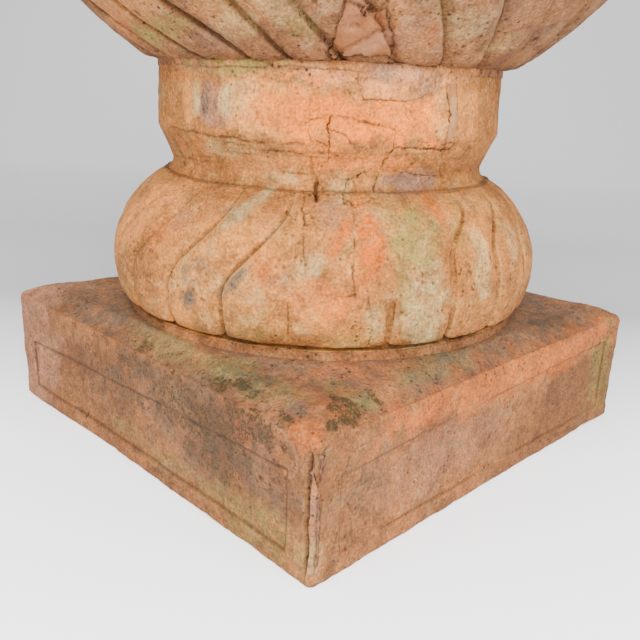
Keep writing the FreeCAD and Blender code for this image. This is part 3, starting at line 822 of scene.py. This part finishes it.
# ---------------------------------------------------------------- plinth
def make_plinth():
    """The square block as rows of rounded squares that turn into circles at the opening on top."""
    border = (HALF - 34 * MM) / HALF
    runs = ((-1, -0.93, 22), (-0.93, -border - 0.012, 22), (-border - 0.012, -border + 0.012, 8),
            (-border + 0.012, border - 0.012, 184), (border - 0.012, border + 0.012, 8),
            (border + 0.012, 0.93, 22), (0.93, 1, 22))
    side = np.concatenate([a + (b - a) * np.arange(n) / n for a, b, n in runs])
    corner = 4 * MM
    edge = 8 * MM                       # radius of the worn upper edge
    slope_end = HALF - edge * (1 - math.cos(math.radians(68)))
    under = [(HALF - WALL, 0, 1)] + sampled([(HALF - WALL, 0, 1), (HALF, 0, 1)], (8,))[1:]
    wall = sampled([(HALF, 0, 1), (HALF, EDGE_HEIGHT - edge, 1)], (80,))
    wall += [(r, z, 1) for r, z in arc(HALF - edge, EDGE_HEIGHT - edge + 1 * MM, edge, edge, 0, 68, 9)]
    slope = sampled([(slope_end, EDGE_HEIGHT, 1), (186 * MM, SEAT, 1), (RING_RADIUS, SEAT, 0)], (16, 40))
    hole = sampled([(RING_RADIUS, SEAT, 0), (HATCH_RADIUS, SEAT, 0), (HATCH_RADIUS, SEAT - WALL, 0)], (6, 4))
    inside_run = sampled([(HATCH_RADIUS, SEAT - WALL, 0), (HALF - WALL, SEAT - WALL, 1),
                          (HALF - WALL, 0, 1)], (8, 8))
    loops = []
    for half, height, square in eased(under + wall + slope + hole + inside_run, 1):
        ring = []
        for k in range(4):
            flat = np.stack([np.full(len(side), half), half * side], -1)
            core = np.clip(flat, -(half - corner), half - corner)
            away = flat - core
            rounded = core + corner * away / np.maximum(np.linalg.norm(away, axis=1, keepdims=True), 1e-9)
            angle = np.arctan2(flat[:, 1], flat[:, 0])
            circle = half * np.stack([np.cos(angle), np.sin(angle)], -1)
            mixed = square * rounded + (1 - square) * circle
            turn = np.array([[0, -1], [1, 0]])
            ring.append(mixed @ np.linalg.matrix_power(turn, k).T)
        ring = np.concatenate(ring)
        loops.append(np.column_stack([ring, np.full(len(ring), height)]))
    grid = Grid(np.array(loops))
    grid.side = grid.on_rows(slice(4, len(under) + len(wall) + len(slope) + 2), 1)
    return grid


def finish_plinth(grid):
    p = grid.points
    x, y, z = p[..., 0], p[..., 1], p[..., 2]
    across = np.where(np.abs(x) > np.abs(y), y, x)
    on_side = (np.maximum(np.abs(x), np.abs(y)) > HALF - 1.5 * MM) & (grid.side > 0)
    wobble = noise(p, 60 * MM, 11, 3)
    inset_x = HALF - PANEL_MARGIN - np.abs(across) + 0.8 * MM * wobble
    left_face = (np.abs(y) > np.abs(x)) & (y < 0)
    panel_top = np.where(left_face, 69 * MM + 0.047 * x, 80 * MM + 0.03 * y)
    inset_z = np.minimum(z - 15 * MM, panel_top - z) + 1.0 * MM * wobble
    inset = np.minimum(inset_x, inset_z)
    panel = smooth(inset, -0.6 * MM, 1.2 * MM)
    line = bell(inset, (0.9 + 0.4 * left_face) * MM)
    worn = smooth(noise(p, 55 * MM, 12, 2) + 0.8 * left_face, -0.7, 0.3)
    grid.push(-(1.5 * panel + 1.1 * line * worn) * MM * on_side)
    # dark line round the sunk panel: dirt, and painted shadow cast by the raised border
    grid.mask("dirt_and_shade", 0.85 * line * on_side * worn)
    grid.update()

    p = grid.points
    bottom = np.clip(1 - z / (22 * MM), 0, 1) * (grid.side > 0)
    grid.push((np.minimum(noise(p, 70 * MM, 13, 2), 0.0)) * 1.3 * MM * grid.side)
    uneven = 0.5 * noise(p, 16 * MM, 14, 3) + 0.4 + 0.9 * bottom + 0.25 * noise(p, 4 * MM, 15, 2)
    grid.push(uneven * MM * grid.side)
    chips = pits(p * [1, 1, 0.6], 34 * MM, 7 * MM, 220, 0.45) * smooth(bottom, 0.4, 1)
    grid.push(-2.0 * MM * chips)
    grid.points[..., 2] += 1.6 * MM * bottom * np.clip(noise(p * [1, 1, 0], 30 * MM, 16, 3) - 0.25, 0, 1)
    for corner, reach in ((-1, 5.5), (1, 3.0)):        # the left and right corners are drawn out a little
        along = corner * (p[..., 0] + p[..., 1]) * math.sqrt(0.5)
        outward = corner * reach * MM * math.sqrt(0.5) * smooth(along, 170 * MM, 290 * MM)
        grid.points[..., :2] += outward[..., None]
    dents = pits(p, 13 * MM, 1.3 * MM, 240, 0.4) * grid.side
    specks = pits(p, 6 * MM, 0.8 * MM, 246, 0.3) * grid.side
    grid.push(-(0.9 * dents + 0.4 * specks) * MM)
    grid.mask("dirt_and_shade", np.minimum(1.3 * dents + 1.2 * specks, 0.9))
    grid.points[..., 2] = np.clip(grid.points[..., 2], 0, SEAT)

    # the top is not flat: it rises in a soft cove to the socle's ring, and sags between
    reach = np.hypot(p[..., 0], p[..., 1]) - RING_RADIUS
    on_top = (p[..., 2] > EDGE_HEIGHT - 2 * MM) & (reach > 0)
    sag = smooth(reach, 3 * MM, 34 * MM) * smooth(-reach, -100 * MM, -55 * MM)
    grid.points[..., 2] -= 4.0 * MM * on_top * sag
    grid.mask("brown", 0.5 * bell(reach, 6 * MM) * on_top)
    # the top is painted grey, strongest near the socle under the overhanging bulb and bowl: partly dirt,
    # partly painted shade
    shade = smooth(noise(p, 70 * MM, 17, 4), -0.5, 0.4)
    grid.mask("grey", on_top * (0.35 + 0.50 * shade) * smooth(-reach, -110 * MM, -30 * MM))
    grid.update()
    return grid


def make_corner_filler(grid):
    """Strip of filler down the worn corner, with the open crack beside it."""
    p = grid.points
    run = np.where(p[..., 0] + p[..., 1] < 0, p[..., 0] - HALF, p[..., 1] + HALF)
    front = (p[..., 0] > HALF - 30 * MM) & (p[..., 1] < -HALF + 30 * MM) & (grid.side > 0)
    z = p[..., 2] / MM
    left = (-5.2 - 1.3 * np.sin(z / 26)) * MM + 0.5 * MM * noise(p, 14 * MM, 211, 3)
    right = (7.0 - 9.0 * smooth(z, 62, 99)) * MM + 0.6 * MM * noise(p, 14 * MM, 213, 3)
    member = front & (run > left) & (run < right) & (z > 8) & (z < 99)
    open_crack = bell(run - left, 1.2 * MM) * front
    open_crack = open_crack * smooth(z, 5, 12) * smooth(-z, -101, -97)
    seam = bell(run - right, 0.7 * MM) * front * smooth(z, 20, 34) * smooth(-z, -99, -92)
    grid.push(-(6.0 * open_crack + 0.8 * seam) * MM)
    grid.mask("dirt_and_shade", np.maximum(1.0 * open_crack, 0.4 * seam))
    surface = grid.copy()
    chip = smooth(z, 66, 70) * smooth(-z, -88, -84) * smooth(noise(p, 12 * MM, 215, 3), -0.5, 0.1)
    low_chip = smooth(z, 36, 38) * smooth(-z, -46, -42) * smooth(noise(p, 8 * MM, 217, 3), -0.1, 0.3)
    surface.mask("peach", 0.7 * np.maximum(chip, low_chip) * member)
    surface.mask("pink", 0.9 * member)
    surface.push(-(0.8 + 0.7 * noise(p, 9 * MM, 219, 3)) * MM * member)
    plate_piece(surface, member, 5 * MM, "plinth_corner_filler", ["plinth_corner_filler"],
                CLAY_PLINTH)
    pocket(grid, member, 4 * MM)


def plinth_spot(grid, name, centre, radii, strength, seed):
    """Irregular stain about a point in space, with its own reach along X, Y and Z."""
    away = np.linalg.norm((grid.points - np.array(centre) * MM) / (np.array(radii) * MM), axis=-1)
    near = away < 2.4
    away[near] += 0.7 * noise(grid.points[near], 16 * MM, seed, 6, 0.7)
    grid.mask(name, strength * (1 - smooth(away, 0.5, 1.2)))


def stain_plinth(grid):
    """Each stain: kind, centre and reach along X, Y and Z in mm, strength."""
    for i, (name, centre, radii, strength) in enumerate((
            ("grey", (60, -210, 70), (140, 20, 46), 0.55), ("lichen", (60, -212, 84), (130, 22, 34), 0.73),
            ("lichen", (-60, -212, 66), (90, 22, 28), 0.68), ("lichen", (110, -212, 50), (70, 20, 34), 0.70),
            ("lichen", (150, -212, 96), (50, 22, 22), 0.77), ("brown", (130, -212, 42), (70, 18, 44), 0.7),
            ("brown", (40, -212, 66), (120, 18, 40), 0.35), ("grey", (130, -212, 100), (50, 20, 16), 0.6),
            ("pink", (-190, -205, 60), (50, 60, 90), 0.8), ("lichen", (196, -214, 60), (12, 20, 30), 0.66),
            ("moss", (150, -210, 25), (50, 14, 24), 0.45), ("moss", (60, -210, 24), (120, 14, 12), 0.35),
            ("orange", (160, -170, 112), (40, 30, 10), 0.5), ("orange", (140, -208, 96), (40, 14, 14), 0.4),
            ("orange", (152, -128, 116), (18, 26, 8), 0.7), ("orange", (196, -205, 104), (14, 14, 10), 0.6),
            ("lichen", (194, -168, 111), (22, 17, 14), 0.80), ("lichen", (192, -136, 113), (16, 8, 12), 0.80),
            ("lichen", (184, -154, 113), (30, 26, 12), 0.66), ("lichen", (176, -202, 109), (12, 8, 12), 0.84),
            ("lichen", (99, -200, 110), (20, 9, 12), 0.78), ("lichen", (124, -193, 111), (22, 9, 12), 0.82),
            ("lichen", (110, -180, 114), (50, 14, 10), 0.68), ("lichen", (0, -200, 112), (18, 10, 12), 0.76),
            ("lichen", (45, -200, 112), (40, 10, 12), 0.68), ("moss", (110, -186, 113), (60, 18, 12), 0.8),
            ("moss", (20, -192, 116), (60, 16, 12), 0.6), ("moss", (176, -150, 114), (34, 16, 10), 0.7),
            ("grey", (150, -190, 112), (50, 16, 14), 0.75), ("grey", (80, -200, 110), (90, 14, 14), 0.6),
            ("lichen", (-60, -180, 116), (30, 16, 10), 0.66), ("grey", (-110, -150, 117), (50, 40, 12), 0.7),
            ("brown", (150, -160, 115), (60, 40, 12), 0.30), ("orange", (206, 40, 94), (24, 190, 22), 0.62),
            ("lichen", (202, -190, 107), (8, 10, 10), 0.85), ("lichen", (206, -203, 101), (5, 8, 10), 0.85),
            ("orange", (170, -110, 117), (34, 30, 12), 0.4), ("moss", (186, -60, 115), (20, 50, 10), 0.5),
            ("peach", (210, 30, 92), (16, 150, 20), 0.42), ("brown", (212, -90, 48), (14, 70, 30), 0.22),
            ("pink", (210, -60, 50), (14, 90, 30), 0.35), ("grey", (206, -160, 62), (20, 30, 40), 0.3),
            ("lichen", (190, 120, 117), (22, 70, 12), 0.68), ("grey", (180, 110, 116), (34, 90, 14), 0.7),
            ("grey", (198, 160, 112), (24, 50, 14), 0.7), ("bloom", (207, -207, 18), (12, 12, 22), 0.4),
            ("moss", (210, 186, 50), (16, 26, 50), 0.6), ("grey", (150, 190, 114), (60, 30, 14), 0.6),
            ("grey", (-170, 100, 112), (40, 90, 14), 0.6), ("lichen", (-60, 210, 70), (120, 20, 40), 0.68),
            ("moss", (-210, -40, 30), (16, 120, 24), 0.5), ("grey", (-210, 60, 60), (16, 120, 40), 0.4))):
        plinth_spot(grid, name, centre, radii, strength, 700 + 7 * i)


# ---------------------------------------------------------------- mortar
def make_bed(name, outer, inner, low, high, flare, seed, material):
    """Ring of mortar between two pieces, spread out at its foot by flare."""
    outline = sampled([(inner, low), (outer + flare, low), (outer + 0.3 * flare, low + 0.3 * (high - low)),
                       (outer, high), (inner, high), (inner, low)], (4, 3, 3, 4, 2))
    grid = Grid(turned(outline, 480))
    outside = grid.radius() > outer - MM
    grid.push((noise(grid.points, 18 * MM, seed, 3) - 0.6) * 0.4 * MM * outside)
    grid_piece(grid, name, [name], material)


def make_smear():
    """Mortar squeezed out of the bowl's joint and wiped over the neck, thin at its ragged edges."""
    columns, rows = 720, 46
    first, last = -56, 51
    degrees = np.linspace(first, last, columns)
    t = np.linspace(0, 1, rows)[:, None]
    along = np.stack([degrees * 2.65, degrees * 0, degrees * 0], -1) * MM
    ragged = noise(along, 34 * MM, 31, 5, 0.6)
    lump = smooth(degrees, 7.4, 9.6) * smooth(-degrees, -34, -22)
    torn = noise(along, 11 * MM, 33, 5, 0.7)
    low = np.interp(degrees, (-56, -25, -8, 4, 7.5, 30, 41), (324, 319, 316, 311, 316, 317, 322))
    bottom = (low - 1.2 * ragged - (8.5 + 1.6 * torn) * lump - 0.5 * torn) * MM
    top = (333.5 + 1.0 * noise(along, 30 * MM, 35, 3)) * MM
    z = bottom + (top - bottom) * t
    body = (1 - np.abs(2 * t - 1) ** 4) ** 0.5
    ends = smooth(np.minimum(degrees - first, last - degrees), 0, 5)
    feather = 1 - (1 - lump) * np.exp(-(z - bottom) / (4 * MM))
    thick = ((1.0 + 1.9 * lump + 0.5 * ragged + 1.2 * t) * body * ends * feather - 0.4 * (1 - lump)) * MM
    hug = NECK_RADIUS + 1.5 * MM * smooth(z, 327 * MM, 336 * MM)
    angle = FRONT + np.radians(degrees)
    front = polar(hug + thick, angle, z)
    back = polar(hug - 3 * MM, angle, z)
    rough = 0.9 * noise(front, 9 * MM, 37, 4, 0.7) + 0.7 * noise(front * [1, 1, 3], 14 * MM, 39, 3)
    outward = polar(1, angle, 0 * angle)
    holes = pits(front, 9 * MM, 1.6 * MM, 41, 0.4)
    front += ((rough - 1.3 * holes) * MM * body)[..., None] * outward
    index = np.arange(rows * columns).reshape(rows, columns)
    faces = np.stack([index[:-1, :-1], index[:-1, 1:], index[1:, 1:], index[1:, :-1]], -1).reshape(-1, 4)
    faces = closed(faces, rows * columns)
    # painted shadow along part of the smear's lower edge, under the lump
    foot = 0.85 * bell(z - bottom, 1.1 * MM)
    foot = foot * smooth(degrees, -20, -8) * smooth(-degrees, -24, -14)
    split_line = bell(degrees - 8.0 - 1.5 * torn * (1 - t), 0.3)
    lines = bell(z / MM - 327 + 2 * ragged, 0.8) * smooth(-degrees, -12, -6)
    mossy = smooth(noise(front, 24 * MM, 43, 3), -0.6, 0.2)
    # the front is painted bright orange, partly fresh clay and partly painted highlight; the top edge, under
    # the bowl, gets painted shadow
    masks = {"moss": 0.95 * smooth(-degrees, 4, 22) * mossy * (z > 0),
             "fresh_clay_and_highlight": 0.8 * smooth(-degrees, -8, 8) * smooth(degrees, -30, -8) * smooth(1 - t, 0.3, 0.8),
             "dirt_and_shade": np.maximum.reduce([foot, 0.6 * split_line * (1 - 0.8 * t), 0.7 * lines, 0.9 * holes,
                                        0.6 * smooth(t, 0.75, 1.0) * (1 - 0.5 * lump)]),
             "pink": 0.3 * lump * smooth(t, 0.2, 0.6),
             "peach": (0.5 + 0.3 * lump) * smooth(noise(front, 22 * MM, 47, 3), -0.5, 0.3)}
    doubled = {key: np.concatenate([value.ravel()] * 2) for key, value in masks.items()}
    add_mesh("bowl_joint_smear", np.concatenate([front.reshape(-1, 3), back.reshape(-1, 3)]), faces, doubled,
             ["bowl_joint_smear"], CLAY_SMEAR)


# ---------------------------------------------------------------- room, light and camera
# the paper's tone is painted: darker behind the urn as painted shade, lighter up the backdrop as painted
# light
PAPER_FADE = (-0.1, 0.35)           # distances behind the urn over which the paper gets darker,
PAPER_RISE = (0.8, 1.8)             # and lighter again


def make_room():
    """Pale floor that curves up into a backdrop behind the urn."""
    mesh = bpy.data.meshes.new("floor")
    profile = [(-4.0, 0.0), (1.6, 0.0)]
    profile += [(1.6 + 1.2 * math.sin(a), 1.2 - 1.2 * math.cos(a)) for a in np.linspace(0.1, math.pi / 2, 16)]
    profile += [(2.8, 5.0)]
    back = Vector((-math.cos(FRONT), -math.sin(FRONT), 0))
    right = Vector((-math.sin(FRONT), math.cos(FRONT), 0))
    vertices = [back * run + right * side + Vector((0, 0, z)) for run, z in profile for side in (-6, 6)]
    faces = [(2 * i, 2 * i + 1, 2 * i + 3, 2 * i + 2) for i in range(len(profile) - 1)]
    mesh.from_pydata(vertices, [], faces)
    mesh.shade_smooth()
    shader = Shader("studio_paper", 0.9)
    depth = shader.tree.nodes.new("ShaderNodeVectorMath")
    depth.operation = "DOT_PRODUCT"
    depth.inputs[1].default_value = back
    shader.tree.links.new(shader.where, depth.inputs[0])
    far = shader.span(depth.outputs["Value"], *PAPER_FADE)
    wall = shader.span(depth.outputs["Value"], *PAPER_RISE)
    tone = shader.mix(far, (0.92, 0.92, 0.925), (0.32, 0.321, 0.323))
    tone = shader.mix(wall, tone, (0.54, 0.541, 0.543))
    mesh.materials.append(shader.finish(tone, shader.noise(0.02, 2), 0.02, 0.0005))
    floor = bpy.data.objects.new("floor", mesh)
    bpy.context.collection.objects.link(floor)


def add_light(name, degrees, distance, height, size, power, aim=0.2):
    """Soft rectangular light, placed by its angle from the worn corner."""
    data = bpy.data.lights.new(name, "AREA")
    data.shape = "RECTANGLE"
    data.size, data.size_y = size
    data.energy = power
    lamp = bpy.data.objects.new(name, data)
    spot_at = Vector((distance * math.cos(FRONT + math.radians(degrees)),
                      distance * math.sin(FRONT + math.radians(degrees)), height))
    lamp.location = spot_at
    lamp.rotation_euler = (Vector((0, 0, aim)) - spot_at).to_track_quat("-Z", "Y").to_euler()
    bpy.context.collection.objects.link(lamp)


def make_lights():
    add_light("key", 4, 2.0, 1.3, (1.1, 0.9), 125)
    add_light("left_fill", -68, 2.2, 1.2, (1.6, 1.6), 14)
    add_light("right_fill", 74, 2.2, 1.2, (1.6, 1.6), 18)
    add_light("overhead", 0, 0.5, 2.5, (2.6, 2.6), 200)
    world = bpy.data.worlds.new("studio")
    world.use_nodes = True
    world.node_tree.nodes["Background"].inputs["Color"].default_value = (0.97, 0.98, 1.0, 1)
    world.node_tree.nodes["Background"].inputs["Strength"].default_value = 0.35
    bpy.context.scene.world = world


def make_camera():
    distance, height = 1.680 * SIDE, 0.770 * SIDE
    yaw, pitch, roll = math.radians(45.05), math.radians(18.35), math.radians(2.2)
    forward = Vector((-math.sin(yaw) * math.cos(pitch), math.cos(yaw) * math.cos(pitch), -math.sin(pitch)))
    right = Vector((math.cos(yaw), math.sin(yaw), 0))
    up = right.cross(forward)
    x_axis = math.cos(roll) * right + math.sin(roll) * up
    y_axis = -math.sin(roll) * right + math.cos(roll) * up
    data = bpy.data.cameras.new("camera")
    data.sensor_width = 36
    data.lens = 41.57
    camera = bpy.data.objects.new("camera", data)
    placed = Matrix((x_axis, y_axis, -forward)).transposed().to_4x4()
    placed.translation = Vector((distance * math.cos(FRONT), distance * math.sin(FRONT), height))
    camera.matrix_world = placed
    bpy.context.collection.objects.link(camera)
    bpy.context.scene.camera = camera


make_camera()
make_room()
make_lights()

plinth = finish_plinth(make_plinth())
stain_plinth(plinth)
make_corner_filler(plinth)
grid_piece(plinth, "plinth_body", ["plinth"], CLAY_PLINTH)

make_bed("socle_bed_mortar", RING_RADIUS + 1 * MM, 140 * MM, SEAT - 2 * MM, RING_BOTTOM + 3 * MM, 4 * MM, 21,
         CLAY_PLINTH)
socle = make_socle()
paint_socle_stains_and_highlights(socle)
make_sherds(socle)
grid_piece(socle, "socle_body", ["socle"], CLAY_SOCLE)

make_bed("bowl_bed_mortar", NECK_RADIUS + 0.8 * MM, 124 * MM, NECK_TOP - 2 * MM, BOWL_FOOT + 3 * MM, 0, 23,
         CLAY_SMEAR)
bowl = make_bowl()
stain_bowl(bowl)
make_patch(bowl)
grid_piece(bowl, "bowl_body", ["bowl"], CLAY_BOWL)
make_smear()
